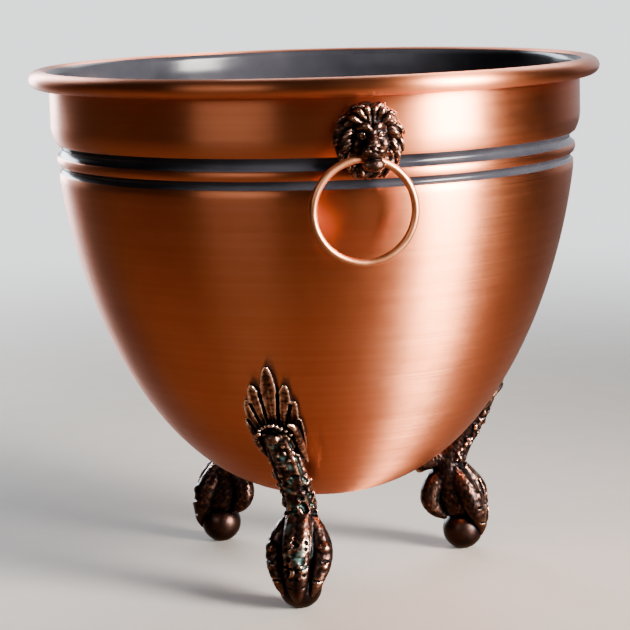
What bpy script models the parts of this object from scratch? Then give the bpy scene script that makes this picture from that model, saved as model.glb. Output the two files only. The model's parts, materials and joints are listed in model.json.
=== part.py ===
"""Footed copper planter pot with two lion-mask ring handles.

Frame: +Z up, origin on the pot's axis at table level. The two masks face -Y and +Y,
so both ring handles hinge about an axis along X. Lengths are metres.
"""

import math

import bmesh
import bpy
from mathutils import Matrix, Vector

MM = 0.001
GAP = 0.3 * MM  # air between neighbouring pieces

# Bowl: one spun sheet. Its body follows r = R * (1 - t**P) ** (1 / Q), t falling from the belt.
SHEET = 1.2 * MM
BODY_RADIUS = 116.64 * MM
BODY_TOP_Z = 205.0 * MM
BODY_DEPTH = 168.7 * MM
BODY_P = 1.6991
BODY_Q = 2.2953
FLAT_RADIUS = 20.0 * MM
FLAT_Z = 38.0 * MM

# Belt: two rolled grooves with a ridge between them, under a plain collar.
GROOVE_LOW = (186.6 * MM, 190.8 * MM, -1.5 * MM)
RIDGE = (190.8 * MM, 194.2 * MM, 0.4 * MM)
GROOVE_HIGH = (194.2 * MM, 200.1 * MM, -2.5 * MM)
BELT_RADIUS_LOW = 115.1 * MM
BELT_RADIUS_HIGH = 116.3 * MM
COLLAR_START_Z = 208.0 * MM
COLLAR_RADIUS = 118.3 * MM
COLLAR_TOP_Z = 225.0 * MM

# Rim: the sheet rolls outwards over an oval and ends just short of the collar.
CURL_R = 122.3 * MM
CURL_Z = 228.1 * MM
CURL_HALF_WIDTH = 4.7 * MM
CURL_HALF_HEIGHT = 3.95 * MM
CURL_END_DEG = -132.0

# Feet: identical castings. Their azimuths run from -Y towards +X.
FOOT_AZIMUTHS_DEG = {"front": -20.2, "right": 97.9, "left": 217.9}
BALL_RADIUS = 9.4 * MM
BALL_CIRCLE = 68.0 * MM
BALL_FLAT = 0.35 * MM  # worn off under the ball, which leaves a small flat to stand on
LEAF_SWING = -6.8 * MM  # the leaf leans sideways by this at its top
FOOT_SCREW_HEIGHTS = {"upper": 73.0 * MM, "lower": 53.5 * MM}

# Lion masks and their ring handles.
MASK_AZIMUTHS_DEG = {"front": 0.0, "rear": 180.0}
MASK_Z = 206.9 * MM
MASK_SCREW_Z = 211.0 * MM
HINGE_Z = 199.4 * MM
HINGE_R = 125.5 * MM
MOUTH_RADIUS = 3.6 * MM
RING_RADIUS = 20.7 * MM
WIRE_RADIUS = 1.6 * MM
RING_SIDE_OFFSET = -3.7 * MM  # the ring has slipped round, so its centre hangs beside the mouth
RING_BUTT_GAP = 0.6 * MM

# M4 pan head screws with washers, put in from inside the bowl.
SCREW_RADIUS = 1.9 * MM
THREAD_BORE_RADIUS = 2.2 * MM
WALL_HOLE_RADIUS = 2.5 * MM
HEAD_RADIUS = 3.8 * MM
HEAD_HEIGHT = 2.4 * MM
SCREW_POINT = 0.8 * MM  # how long the taper at the screw's end is
WASHER_RADIUS = 4.8 * MM
WASHER_HOLE_RADIUS = 2.2 * MM
WASHER_THICKNESS = 0.8 * MM
WASHER_LIFT = 0.6 * MM  # a flat washer touches the hollow wall by its edge only
SCREW_GRIP = {"upper": 3.0 * MM, "lower": 6.5 * MM, "mask": 5.0 * MM}
BORE_SPARE = 0.9 * MM  # how much deeper a blind bore is than its screw

# How finely each shape is made.
BOWL_SEGMENTS = 48
BODY_STEPS = 13
BODY_CROWDING = 1.45  # over 1 puts the steps closer together near the floor of the bowl
FASTENER_SEGMENTS = 12
STRAND_SIDES = 14
RING_STEPS = 44
WIRE_SIDES = 10
FOOT_VOXEL, FOOT_KEEP = 1.2 * MM, 0.075
MASK_VOXEL, MASK_KEEP = 0.9 * MM, 0.12
SHARP_DEG = 40

# Cutters, which reach a little past what they cut.
CUTTER_STEPS = 28
CUTTER_SEGMENTS = 96
WALL_HOLE_REACH = 4.0 * MM
MOUTH_REACH = 20.0 * MM


# --- materials and helpers ---


def material(name, color, roughness):
    made = bpy.data.materials.new(name)
    made.use_nodes = True
    shader = made.node_tree.nodes["Principled BSDF"]
    shader.inputs["Base Color"].default_value = (*color, 1.0)
    shader.inputs["Roughness"].default_value = roughness
    shader.inputs["Metallic"].default_value = 1.0
    return made


def add_object(name, mesh, finish):
    obj = bpy.data.objects.new(name, mesh)
    bpy.context.scene.collection.objects.link(obj)
    mesh.materials.clear()
    mesh.materials.append(finish)
    mesh.shade_smooth()
    mesh.set_sharp_from_angle(angle=math.radians(SHARP_DEG))
    return obj


def guide(name, mesh):
    """A cutter: in the file, but not part of the object."""
    obj = bpy.data.objects.new(name, mesh)
    bpy.context.scene.collection.objects.link(obj)
    obj.hide_render = True
    obj.display_type = "WIRE"
    return obj


def mesh_from(name, build):
    mesh = bpy.data.meshes.new(name)
    shape = bmesh.new()
    build(shape)
    bmesh.ops.recalc_face_normals(shape, faces=shape.faces)
    shape.to_mesh(mesh)
    shape.free()
    return mesh


def frozen(obj, name):
    """The mesh of the object with its modifiers applied."""
    graph = bpy.context.evaluated_depsgraph_get()
    mesh = bpy.data.meshes.new_from_object(obj.evaluated_get(graph))
    mesh.name = name
    return mesh


def cut(obj, cutter):
    step = obj.modifiers.new(cutter.name, "BOOLEAN")
    step.solver = "EXACT"
    step.object = cutter


def turned(name, profile, segments):
    """A mesh turned round Z from a closed outline of (r, z) points, whose ends may lie on the axis."""
    mesh = bpy.data.meshes.new(name)
    edges = [(i, i + 1) for i in range(len(profile) - 1)]
    if profile[0][0] > 0:
        edges.append((len(profile) - 1, 0))
    mesh.from_pydata([(r, 0.0, z) for r, z in profile], edges, [])
    spun = guide(name + "_profile", mesh)
    screw = spun.modifiers.new("Screw", "SCREW")
    screw.steps = screw.render_steps = segments
    screw.use_merge_vertices = True
    screw.merge_threshold = 0.00001
    result = frozen(spun, name)
    bpy.data.objects.remove(spun)
    return result


def rod(name, radius, start, end):
    """A guide cylinder between two points."""
    axis = end - start

    def build(shape):
        place = Matrix.Translation((start + end) / 2) @ axis.to_track_quat("Z", "Y").to_matrix().to_4x4()
        bmesh.ops.create_cone(
            shape, cap_ends=True, segments=FASTENER_SEGMENTS, radius1=radius, radius2=radius,
            depth=axis.length, matrix=place,
        )

    return guide(name, mesh_from(name, build))


def eased(start, end, value):
    """0 before start, 1 after end, and smooth between them."""
    u = min(1.0, max(0.0, (value - start) / (end - start)))
    return u * u * (3 - 2 * u)


# --- the bowl's wall, which every other piece is placed on ---


def body_radius(z):
    t = (BODY_TOP_Z - z) / BODY_DEPTH
    return BODY_RADIUS * (1 - t**BODY_P) ** (1 / BODY_Q)


def wall_radius(z):
    """The outer radius of the bowl at height z, from the flat up to the rim."""
    low, high = GROOVE_LOW[0], GROOVE_HIGH[1]
    if z < low:
        return body_radius(z)
    if z > high:
        rise = min(1.0, (z - high) / (COLLAR_START_Z - high))
        return COLLAR_RADIUS - (COLLAR_RADIUS - BELT_RADIUS_HIGH) * (1 - rise) ** 2
    radius = BELT_RADIUS_LOW + (BELT_RADIUS_HIGH - BELT_RADIUS_LOW) * (z - low) / (high - low)
    for start, end, height in (GROOVE_LOW, RIDGE, GROOVE_HIGH):
        if start < z < end:
            radius += height * math.sin(math.pi * (z - start) / (end - start))
    return radius


def wall_normal(z):
    """(outward, upward) parts of the wall's outer normal at height z, on its body or collar."""
    step = 0.2 * MM
    slope = (wall_radius(z + step) - wall_radius(z - step)) / (2 * step)
    size = math.hypot(1.0, slope)
    return 1.0 / size, -slope / size


def on_wall(side, z, lift=0.0):
    """A point side metres to the right of azimuth 0 along the wall, lift metres off it."""
    out, up = wall_normal(z)
    turn = side / wall_radius(z)
    r = wall_radius(z) + lift * out
    return Vector((r * math.sin(turn), -r * math.cos(turn), z + lift * up))


def spaced(start, end, count):
    """count heights from start towards end, both ends included."""
    return [start + (end - start) * i / (count - 1) for i in range(count)]


def wall_heights():
    body = [FLAT_Z + (GROOVE_LOW[0] - FLAT_Z) * (i / BODY_STEPS) ** BODY_CROWDING for i in range(BODY_STEPS)]
    belt = []
    for (start, end, _), count in ((GROOVE_LOW, 5), (RIDGE, 4), (GROOVE_HIGH, 5)):
        belt += spaced(start, end, count)[:-1]
    collar = spaced(GROOVE_HIGH[1], COLLAR_START_Z, 4)
    return body, belt, collar


def curl(shrink, angles):
    """Points on the rim's oval, made smaller by shrink."""
    a, b = CURL_HALF_WIDTH - shrink, CURL_HALF_HEIGHT - shrink
    return [(CURL_R + a * math.cos(math.radians(d)), CURL_Z + b * math.sin(math.radians(d))) for d in angles]


def bowl_profile():
    """Up the inside, over the rim and round its roll, then down the outside to the axis."""
    body, belt, collar = wall_heights()
    inside = [(0.0, FLAT_Z + SHEET), (FLAT_RADIUS, FLAT_Z + SHEET)]
    for z in body[1:]:
        out, up = wall_normal(z)
        inside.append((wall_radius(z) - SHEET * out, z - SHEET * up))
    inside += [(wall_radius(z) - SHEET, z) for z in belt[::2] + collar[::3]]
    roll_out = curl(0.0, spaced(180.0, CURL_END_DEG, 11))
    roll_in = curl(SHEET, spaced(CURL_END_DEG, 165.0, 9))
    outside = [(wall_radius(z), z) for z in reversed(body[1:] + belt + collar + [COLLAR_TOP_Z])]
    return inside + roll_out + roll_in + outside + [(FLAT_RADIUS, FLAT_Z), (0.0, FLAT_Z)]


def wall_cutter():
    """The bowl as a solid plug, grown by the gap, for shaping what sits on it."""
    body, _, collar = wall_heights()
    side = [(COLLAR_RADIUS + GAP, CURL_Z), (COLLAR_RADIUS + GAP, collar[0])]
    for z in spaced(GROOVE_LOW[0], body[1], CUTTER_STEPS):
        out, up = wall_normal(z)
        side.append((wall_radius(z) + GAP * out, z + GAP * up))
    bottom = [(FLAT_RADIUS, FLAT_Z - GAP), (0.0, FLAT_Z - GAP)]
    return guide("wall_cutter", turned("wall_cutter", [(0.0, CURL_Z)] + side + bottom, CUTTER_SEGMENTS))


# --- castings: blobs and tapered strands, melted into one skin ---


def add_blob(shape, centre, radii, tilt=0.0):
    place = Matrix.Translation(centre) @ Matrix.Rotation(tilt, 4, "Y") @ Matrix.Diagonal((*radii, 1.0))
    bmesh.ops.create_icosphere(shape, subdivisions=3, radius=1.0, matrix=place)


def add_strand(shape, stations, wide):
    """A closed tapered strand. Each station is (point, half width along wide, half depth)."""
    rings = []
    for i, (point, half_width, half_depth) in enumerate(stations):
        ahead = stations[min(i + 1, len(stations) - 1)][0]
        behind = stations[max(i - 1, 0)][0]
        along = (ahead - behind).normalized()
        deep = along.cross(wide).normalized()
        across = deep.cross(along).normalized()
        ring = []
        for k in range(STRAND_SIDES):
            turn = 2 * math.pi * k / STRAND_SIDES
            offset = across * (half_width * math.cos(turn)) + deep * (half_depth * math.sin(turn))
            ring.append(shape.verts.new(point + offset))
        rings.append(ring)
    for low, high in zip(rings, rings[1:]):
        for k in range(STRAND_SIDES):
            after = (k + 1) % STRAND_SIDES
            shape.faces.new((low[k], low[after], high[after], high[k]))
    shape.faces.new(rings[0])
    shape.faces.new(rings[-1])


def melted(name, build, voxel, keep):
    """The blobs and strands as one closed skin, with its triangles thinned to a share of keep."""
    source = guide(name + "_source", mesh_from(name, build))
    skin = source.modifiers.new("Remesh", "REMESH")
    skin.mode = "VOXEL"
    skin.voxel_size = voxel
    thin = source.modifiers.new("Decimate", "DECIMATE")
    thin.ratio = keep
    result = frozen(source, name)
    bpy.data.objects.remove(source)
    return result


def swing(z):
    return LEAF_SWING * eased(45 * MM, 90 * MM, z)


def foot_point(side, r, z):
    return Vector((side + swing(z), -r, z))


def foot_toe(shape, path):
    stations = [(foot_point(s * MM, r * MM, z * MM), w * MM, d * MM) for s, r, z, w, d in path]
    add_strand(shape, stations, Vector((1, 0, 0)))


def build_foot(shape):
    """Leaf on the bowl, leg, spur under the bowl, and four toes over a ball."""
    add_blob(shape, foot_point(0, BALL_CIRCLE, BALL_RADIUS), (BALL_RADIUS,) * 3)
    foot_toe(shape, [(0, 75, 62, 8, 4), (0, 68, 54, 7.2, 6), (0, 64, 47, 6.6, 7), (0, 61.5, 41, 6.8, 7.5),
                     (0, 62, 34, 8, 8.5), (0, 66, 27, 9, 9), (0, 68, 18, 8, 8)])
    foot_toe(shape, [(0, 66, 38, 4.2, 3.5), (0, 73, 31, 4.4, 4), (0, 76.5, 25, 4.2, 3.8),
                     (0, 77.6, 17, 3.8, 3), (0, 77, 9.5, 2.8, 2.4), (0, 75, 5.5, 1.4, 1.2)])
    foot_toe(shape, [(0, 60, 38, 5, 4), (0, 54, 33, 4.6, 4), (0, 51.2, 26, 4.4, 3.8), (0, 55, 20, 3.4, 3),
                     (0, 60, 16, 2.2, 2)])
    foot_toe(shape, [(0, 64, 43, 6, 4), (0, 56, 46, 5.6, 4), (0, 49.5, 45.5, 4.6, 3.4), (0, 46, 44, 2.6, 2)])
    for hand in (-1, 1):
        foot_toe(shape, [(hand * 3.5, 64, 37, 4, 4), (hand * 8.5, 67, 30, 4.2, 4.2),
                         (hand * 10.8, 69, 24, 4.2, 4.4), (hand * 9.8, 70, 16, 3.2, 3.8),
                         (hand * 8.2, 70, 9, 1.8, 2.2)])
    plate = [(54, 7.4, 3.4), (62, 8.8, 3.4), (70, 10, 3.4), (78, 10.6, 3), (86, 9.4, 2.8), (94, 6, 2.4)]
    add_strand(shape, [(on_wall(swing(z * MM), z * MM, 0.8 * MM), w * MM, d * MM) for z, w, d in plate],
               Vector((1, 0, 0)))
    for root, tip, top in ((0, 0, 112), (2.6, 6.6, 102), (5.2, 9.6, 95), (7.6, 10.6, 86)):
        for hand in (-1, 1):
            petal = []
            for u, width in ((0, 2.4), (0.35, 3), (0.7, 2.8), (0.9, 2), (1, 0.8)):
                z = (72 + (top - 72) * u) * MM
                side = hand * (root + (tip - root) * u) * MM + swing(z)
                petal.append((on_wall(side, z, 1.6 * MM), width * MM, (2.8 - 0.8 * u) * MM))
            add_strand(shape, petal, Vector((1, 0, 0)))


def mask_point(side, lift, z):
    r = COLLAR_RADIUS + lift
    return Vector((side, -math.sqrt(r * r - side * side), z))


def build_mask(shape):
    """Mane in two rows of tufts, a narrow face, a muzzle and the jaw that holds the ring."""
    add_blob(shape, mask_point(0, 0, MASK_Z), (13.6 * MM, 3.6 * MM, 15.2 * MM))
    for count, across, tall, size, lift in ((16, 12.4, 13.2, 3.1, 1.9), (13, 8.9, 10.0, 2.9, 3.0)):
        for i in range(count):
            turn = 2 * math.pi * (i + 0.5) / count
            side, rise = across * MM * math.sin(turn), tall * MM * math.cos(turn)
            radii = (size * 0.85 * MM, size * 0.8 * MM, size * 1.15 * MM)
            add_blob(shape, mask_point(side, lift * MM, MASK_Z + rise), radii, tilt=turn)
    for side, lift, z, radii in (
        (0, 3.0, 209.0, (6.8, 5.6, 9.0)),
        (0, 8.2, 209.5, (1.9, 2.4, 5.4)),
        (0, 9.6, 204.6, (3.0, 3.0, 2.4)),
        (0, 7.6, 202.8, (5.0, 4.2, 3.4)),
        (0, 8.0, 196.2, (4.6, 4.4, 3.0)),
        (0, 4.0, 198.6, (4.4, 6.4, 3.6)),
        (-2.8, 6.8, 212.6, (2.3, 2.2, 1.5)),
        (2.8, 6.8, 212.6, (2.3, 2.2, 1.5)),
    ):
        add_blob(shape, mask_point(side * MM, lift * MM, z * MM), tuple(r * MM for r in radii))


# --- placing ---


def quarter(azimuth_deg):
    """Turns a piece made at azimuth 0, which faces -Y, to its place round the pot."""
    return Matrix.Rotation(math.radians(azimuth_deg), 4, "Z")


def screw_seat(z):
    """(point on the wall's inside, outward direction) of a screw at azimuth 0."""
    side = swing(z) if z < GROOVE_LOW[0] else 0.0
    seat = on_wall(side, z, -SHEET)
    return seat, (on_wall(side, z) - seat).normalized()


def screw_profile(length):
    """Down the axis side of a pan head screw whose head rests at z = 0 and whose shank points down."""
    shares = ((0.0, 1.0), (0.55, 0.94), (0.88, 0.62), (1.0, 0.15), (0.96, 0.0))
    head = [(HEAD_RADIUS * across, HEAD_HEIGHT * up) for across, up in shares]
    shank = [(SCREW_RADIUS, 0.0), (SCREW_RADIUS, SCREW_POINT - length)]
    return head + shank + [(SCREW_RADIUS * 0.6, -length), (0.0, -length)]


def washer_profile():
    inner, outer, high = WASHER_HOLE_RADIUS, WASHER_RADIUS, WASHER_THICKNESS
    return [(inner, high), (outer, high), (outer, 0.0), (inner, 0.0)]


def fastener_places():
    """(name stem, grip, seat point, outward direction) of every screw, in the pot's frame."""
    places = []
    for foot, azimuth in FOOT_AZIMUTHS_DEG.items():
        for row, z in FOOT_SCREW_HEIGHTS.items():
            seat, out = screw_seat(z)
            turn = quarter(azimuth)
            places.append((f"foot_{{}}_{foot}_{row}", SCREW_GRIP[row], turn @ seat, turn.to_3x3() @ out))
    for mask, azimuth in MASK_AZIMUTHS_DEG.items():
        seat, out = screw_seat(MASK_SCREW_Z)
        turn = quarter(azimuth)
        places.append((f"mask_{{}}_{mask}", SCREW_GRIP["mask"], turn @ seat, turn.to_3x3() @ out))
    return places


def make_fasteners(steel):
    washer_mesh = turned("washer", washer_profile(), FASTENER_SEGMENTS)
    screw_meshes = {}
    for stem, grip, seat, out in fastener_places():
        if grip not in screw_meshes:
            length = WASHER_THICKNESS + WASHER_LIFT + GAP + SHEET + grip
            screw_meshes[grip] = turned("screw", screw_profile(length), FASTENER_SEGMENTS)
        facing = (-out).to_track_quat("Z", "X").to_matrix().to_4x4()
        washer = add_object(stem.format("washer"), washer_mesh.copy(), steel)
        washer.matrix_world = Matrix.Translation(seat - out * WASHER_LIFT) @ facing
        screw = add_object(stem.format("screw"), screw_meshes[grip].copy(), steel)
        screw.matrix_world = Matrix.Translation(seat - out * (WASHER_LIFT + GAP + WASHER_THICKNESS)) @ facing


def bore_rod(name, z, depth):
    """A guide for the blind thread bore that a casting has for the screw at height z."""
    seat, out = screw_seat(z)
    return rod(name, THREAD_BORE_RADIUS, seat, seat + out * (SHEET + depth + BORE_SPARE))


def make_feet(cutter, finish):
    casting = guide("foot_casting", melted("foot", build_foot, FOOT_VOXEL, FOOT_KEEP))
    cut(casting, cutter)
    for row, z in FOOT_SCREW_HEIGHTS.items():
        cut(casting, bore_rod(f"foot_bore_{row}", z, SCREW_GRIP[row]))
    block = mesh_from("ground_cutter", lambda shape: bmesh.ops.create_cube(shape, size=1.0))
    ground = guide("ground_cutter", block)
    ground.location = (0, 0, BALL_FLAT - 0.5)
    cut(casting, ground)
    mesh = frozen(casting, "foot")
    drop = Matrix.Translation((0, 0, -BALL_FLAT))
    for name, azimuth in FOOT_AZIMUTHS_DEG.items():
        foot = add_object(f"foot_{name}", mesh.copy(), finish)
        foot.matrix_world = quarter(azimuth) @ drop


def make_masks(cutter, finish):
    casting = guide("mask_casting", melted("mask", build_mask, MASK_VOXEL, MASK_KEEP))
    cut(casting, cutter)
    cut(casting, bore_rod("mask_bore", MASK_SCREW_Z, SCREW_GRIP["mask"]))
    side = Vector((MOUTH_REACH, 0, 0))
    mouth = Vector((0, -HINGE_R, HINGE_Z))
    cut(casting, rod("mouth_hole", MOUTH_RADIUS, mouth - side, mouth + side))
    mesh = frozen(casting, "mask")
    for name, azimuth in MASK_AZIMUTHS_DEG.items():
        mask = add_object(f"lion_mask_{name}", mesh.copy(), finish)
        mask.matrix_world = quarter(azimuth)


def build_ring(shape):
    """A wire ring, open by a thin butt gap, hanging from its hinge point at the origin."""
    drop = math.sqrt(RING_RADIUS**2 - RING_SIDE_OFFSET**2)
    centre = Vector((RING_SIDE_OFFSET, 0, -drop))
    start = math.atan2(drop, -RING_SIDE_OFFSET) + RING_BUTT_GAP / (2 * RING_RADIUS)
    sweep = 2 * math.pi - RING_BUTT_GAP / RING_RADIUS
    section = []
    for k in range(WIRE_SIDES):
        turn = 2 * math.pi * k / WIRE_SIDES
        r = RING_RADIUS + WIRE_RADIUS * math.cos(turn)
        place = Vector((r * math.cos(start), WIRE_RADIUS * math.sin(turn), r * math.sin(start)))
        section.append(shape.verts.new(centre + place))
    first = shape.faces.new(section)
    bmesh.ops.spin(
        shape, geom=[first, *first.edges, *first.verts], cent=centre, axis=(0, -1, 0),
        angle=sweep, steps=RING_STEPS, use_duplicate=False,
    )


def make_rings(finish):
    mesh = mesh_from("ring_handle", build_ring)
    hinge = Matrix.Translation((0, -HINGE_R, HINGE_Z))
    for name, azimuth in MASK_AZIMUTHS_DEG.items():
        ring = add_object(f"ring_handle_{name}", mesh.copy(), finish)
        ring.matrix_world = quarter(azimuth) @ hinge


def make_bowl(finish):
    bowl = add_object("bowl", turned("bowl", bowl_profile(), BOWL_SEGMENTS), finish)
    for stem, _, seat, out in fastener_places():
        reach = out * WALL_HOLE_REACH
        cut(bowl, rod(stem.format("hole"), WALL_HOLE_RADIUS, seat - reach, seat + reach))


def main():
    for obj in list(bpy.data.objects):
        bpy.data.objects.remove(obj)
    copper = material("satin_copper", (0.72, 0.33, 0.17), 0.32)
    antique = material("antiqued_casting", (0.23, 0.13, 0.09), 0.42)
    wire = material("copper_wire", (0.83, 0.48, 0.31), 0.3)
    steel = material("zinc_plated_steel", (0.6, 0.6, 0.58), 0.35)
    make_bowl(copper)
    cutter = wall_cutter()
    make_feet(cutter, antique)
    make_masks(cutter, antique)
    make_rings(wire)
    make_fasteners(steel)


main()
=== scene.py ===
"""The looks of the footed copper planter pot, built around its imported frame. Lengths are metres."""

import json
import math

import bpy
import numpy as np
from mathutils import Matrix, Vector


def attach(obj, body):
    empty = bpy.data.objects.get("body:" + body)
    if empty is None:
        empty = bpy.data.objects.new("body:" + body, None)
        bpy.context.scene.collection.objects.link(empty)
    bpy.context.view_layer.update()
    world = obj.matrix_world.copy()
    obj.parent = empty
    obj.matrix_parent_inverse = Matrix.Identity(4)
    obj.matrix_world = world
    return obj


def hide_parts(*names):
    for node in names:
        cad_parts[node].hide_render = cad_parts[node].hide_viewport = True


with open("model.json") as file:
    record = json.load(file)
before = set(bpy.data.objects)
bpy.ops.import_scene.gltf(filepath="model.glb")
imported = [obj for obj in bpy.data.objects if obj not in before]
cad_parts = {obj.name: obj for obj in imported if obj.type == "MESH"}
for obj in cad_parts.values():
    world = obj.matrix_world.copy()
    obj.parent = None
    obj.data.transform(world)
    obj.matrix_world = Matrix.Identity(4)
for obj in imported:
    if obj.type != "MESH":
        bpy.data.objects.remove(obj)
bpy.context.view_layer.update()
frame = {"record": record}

MM = 0.001
GAP = 0.3 * MM  # air between neighbouring pieces

# The bowl's outline, as in the design: a spun sheet whose body follows a power curve.
SHEET = 1.2 * MM
BODY_RADIUS, BODY_TOP_Z, BODY_DEPTH = 116.64 * MM, 205.0 * MM, 168.7 * MM
BODY_P, BODY_Q = 1.6991, 2.2953
FLAT_RADIUS, FLAT_Z = 20.0 * MM, 38.0 * MM
GROOVE_LOW = (186.6 * MM, 190.8 * MM, -1.5 * MM)
RIDGE = (190.8 * MM, 194.2 * MM, 0.4 * MM)
GROOVE_HIGH = (194.2 * MM, 200.1 * MM, -2.5 * MM)
BELT_RADIUS_LOW, BELT_RADIUS_HIGH = 115.1 * MM, 116.3 * MM
COLLAR_START_Z, COLLAR_TOP_Z, COLLAR_RADIUS = 208.0 * MM, 225.0 * MM, 118.3 * MM
CURL_R, CURL_Z, CURL_HALF_WIDTH, CURL_HALF_HEIGHT = 122.3 * MM, 228.1 * MM, 4.7 * MM, 3.95 * MM
CURL_END_DEG = -132.0
LACQUER_TOP_DEG = 128.0  # where the black of the inside ends, on the rim's roll
WALL_START_Z = FLAT_Z + 0.3 * MM  # just above the flat, where the wall still has a slope

RING_JOINTS = {joint["child"]: joint["pos_m"] for joint in frame["record"]["behaviour"]["joints"]}
HINGE_R = -RING_JOINTS["ring_front"][1]
HINGE_Z = RING_JOINTS["ring_front"][2]
RING_RADIUS, WIRE_RADIUS = 20.7 * MM, 1.6 * MM
RING_SIDE_OFFSET, RING_BUTT_GAP = -3.7 * MM, 0.6 * MM
MASK_Z = 206.9 * MM
MASK_AZIMUTHS_DEG = {"front": 0.0, "rear": 180.0}

FOOT_AZIMUTHS_DEG = {"front": -20.2, "right": 97.9, "left": 217.9}
BALL_RADIUS, BALL_CIRCLE, BALL_FLAT = 9.4 * MM, 68.0 * MM, 0.35 * MM
LEAF_SWING = -6.8 * MM
FOOT_SCREW_HEIGHTS = {"upper": 73.0 * MM, "lower": 53.5 * MM}

MASK_SCREW_Z = 211.0 * MM
WASHER_RADIUS, WASHER_HOLE_RADIUS, WASHER_THICKNESS, WASHER_LIFT = 4.8 * MM, 2.2 * MM, 0.8 * MM, 0.6 * MM
WASHER_ROUNDING = 0.12 * MM
HEAD_LIFT = WASHER_LIFT + WASHER_THICKNESS + GAP

# How finely each shape is made. Grids are in millimetres.
BOWL_SEGMENTS = 288
BODY_STEPS, BODY_CROWDING = 70, 1.6
GROOVE_LOW_STEPS, RIDGE_STEPS, GROOVE_HIGH_STEPS = 15, 10, 19
COLLAR_CURVE_STEPS, COLLAR_STEPS = 8, 6
ROLL_STEPS, ROLL_INSIDE_STEPS = 60, 30
RING_STEPS, WIRE_SIDES = 200, 28
WASHER_SEGMENTS = 64
PATH_STEPS = 4
MASK_GRID, FOOT_GRID, SCREW_GRID = 0.24, 0.37, 0.14
RING_SHARP_DEG, FASTENER_SHARP_DEG = 50, 40

# The camera, in the photograph's place.
CAMERA_AZIMUTH_DEG = -10.2
CAMERA_DISTANCE, CAMERA_HEIGHT = 984.8 * MM, 283.75 * MM
CAMERA_PITCH_DEG, CAMERA_YAW_DEG, CAMERA_ROLL_DEG = 9.614, -0.143, -1.587
CAMERA_LENS = 125.15
CAMERA_SENSOR = 36.0

# The studio. Azimuths are counted from the camera's. Each light: name, azimuth, distance, height,
# width, tall, watts, colour, spread, target.
FLOOR_REACH = 2.4
FLOOR_FADE = (0.32, 1.15)
FLOOR_COLORS = ((0.30, 0.27, 0.24), (0.33, 0.295, 0.262))
FLOOR_PAINTED_SHADE = (0.10, 0.055, 0.028)  # painted shade: the floor's dark colour for every ray but the camera's, as the copper sees it, which keeps its underside dark
BACKGROUND_COLOR = (1.75, 1.78, 1.83)
BACKDROP_AZIMUTH_DEG = 180.0
WORLD_STOPS = ((0.40, (0.024, 0.021, 0.022)), (0.97, (0.74, 0.78, 0.85)))
LIGHTS = (
    ("window", 57, 1.15, 0.50, 0.42, 1.0, 24.0, (1.0, 0.97, 0.93), 55, (0, 0, 0.19)),
    ("fill_left", -150, 1.4, 0.55, 0.4, 1.1, 6.5, (0.84, 0.91, 1.0), 90, (0, 0, 0.12)),
    ("fill_front", -34, 1.4, 0.62, 0.85, 0.6, 0.75, (0.92, 0.95, 1.0), 90, (0, 0, 0.2)),
    ("back", 165, 1.5, 1.2, 1.2, 0.6, 5.5, (0.95, 0.97, 1.0), 110, (0, 0, 0.0)),
)


# --- node helpers ---


class Nodes:
    """Short ways to add and link shader nodes in one material."""

    def __init__(self, name):
        self.material = bpy.data.materials.new(name)
        self.material.use_nodes = True
        self.tree = self.material.node_tree
        self.shader = self.tree.nodes["Principled BSDF"]

    def add(self, kind, settings=None, **inputs):
        node = self.tree.nodes.new(kind)
        for key, value in (settings or {}).items():
            setattr(node, key, value)
        for key, value in inputs.items():
            self.put(node.inputs[key.replace("_", " ")], value)
        return node

    def put(self, socket, value):
        if isinstance(value, bpy.types.NodeSocket):
            self.tree.links.new(value, socket)
        else:
            socket.default_value = value

    def math(self, operation, a, b, clamp=False):
        node = self.tree.nodes.new("ShaderNodeMath")
        node.operation = operation
        node.use_clamp = clamp
        for socket, value in zip(node.inputs, (a, b)):
            self.put(socket, value)
        return node.outputs[0]

    def noise(self, vector, scale, detail=3.0, roughness=0.55):
        node = self.add("ShaderNodeTexNoise", Vector=vector, Scale=scale, Detail=detail, Roughness=roughness)
        return node.outputs["Fac"]

    def ramp(self, value, *stops):
        """A colour ramp through (position, colour) stops."""
        node = self.tree.nodes.new("ShaderNodeValToRGB")
        self.put(node.inputs[0], value)
        elements = node.color_ramp.elements
        while len(elements) < len(stops):
            elements.new(0.5)
        for element, (position, color) in zip(elements, stops):
            element.position = position
            element.color = (*color, 1.0)
        return node.outputs["Color"]

    def between(self, value, low_in, high_in, low_out, high_out):
        node = self.tree.nodes.new("ShaderNodeMapRange")
        for socket, number in zip(node.inputs, (value, low_in, high_in, low_out, high_out)):
            self.put(socket, number)
        return node.outputs[0]

    def mix(self, factor, a, b, blend="MIX"):
        node = self.tree.nodes.new("ShaderNodeMix")
        node.data_type = "RGBA"
        node.blend_type = blend
        self.put(node.inputs["Factor"], factor)
        for socket, value in zip((node.inputs[6], node.inputs[7]), (a, b)):
            self.put(socket, value if isinstance(value, bpy.types.NodeSocket) else (*value, 1.0))
        return node.outputs[2]

    def stretched(self, vector, *scales):
        return self.add("ShaderNodeMapping", Vector=vector, Scale=scales).outputs[0]

    def bump(self, height, distance, strength, normal=None):
        node = self.add("ShaderNodeBump", Height=height, Distance=distance, Strength=strength)
        if normal:
            self.put(node.inputs["Normal"], normal)
        return node.outputs[0]


# --- materials ---

WEAR_AND_SHADE_LOW, WEAR_AND_SHADE_HIGH = -0.40, 0.72  # how exposed a casting is, painted shade included, where it is black, and where it is bright


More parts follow.
